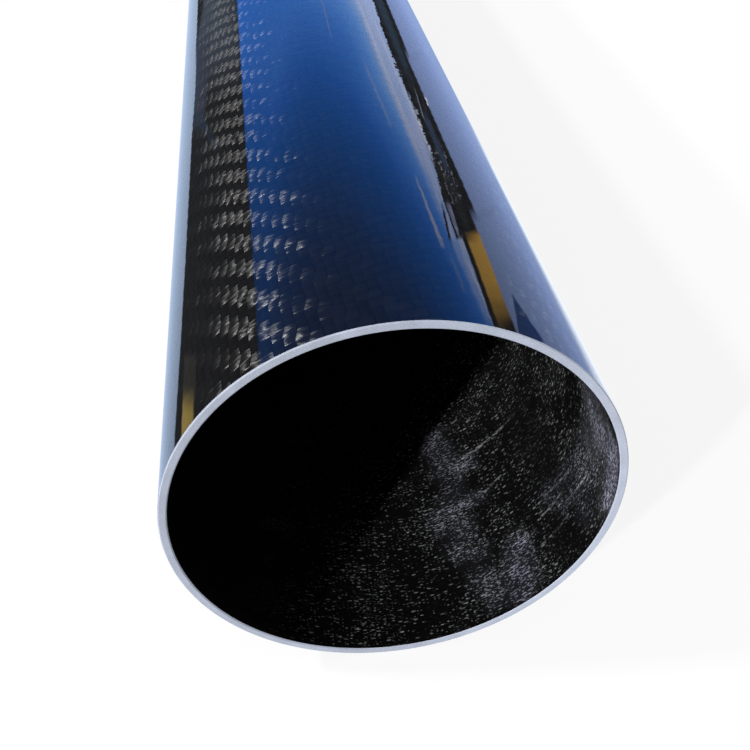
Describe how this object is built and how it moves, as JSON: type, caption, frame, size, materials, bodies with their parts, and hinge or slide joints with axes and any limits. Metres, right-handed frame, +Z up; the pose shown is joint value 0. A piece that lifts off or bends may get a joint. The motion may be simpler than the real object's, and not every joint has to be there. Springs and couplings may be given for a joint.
{
  "type": "carbon fibre tube",
  "caption": "Straight round thin-walled tube of woven carbon fibre under gloss lacquer, open from end to end, cut square at both ends.",
  "frame": {"origin": "under the middle of the tube, on the surface that it lies on", "axes": "+Y along the tube's axis, +Z up; the open end that the picture shows is the one at -Y"},
  "size_m": [0.0799, 1, 0.08],
  "materials": {
    "carbon_laminate": "woven carbon fibre twill under smooth clear gloss lacquer, dull black in the bore, pale grey where sawn"
  },
  "bodies": {
    "root": {"tube": "carbon_laminate"}
  },
  "joints": []
}
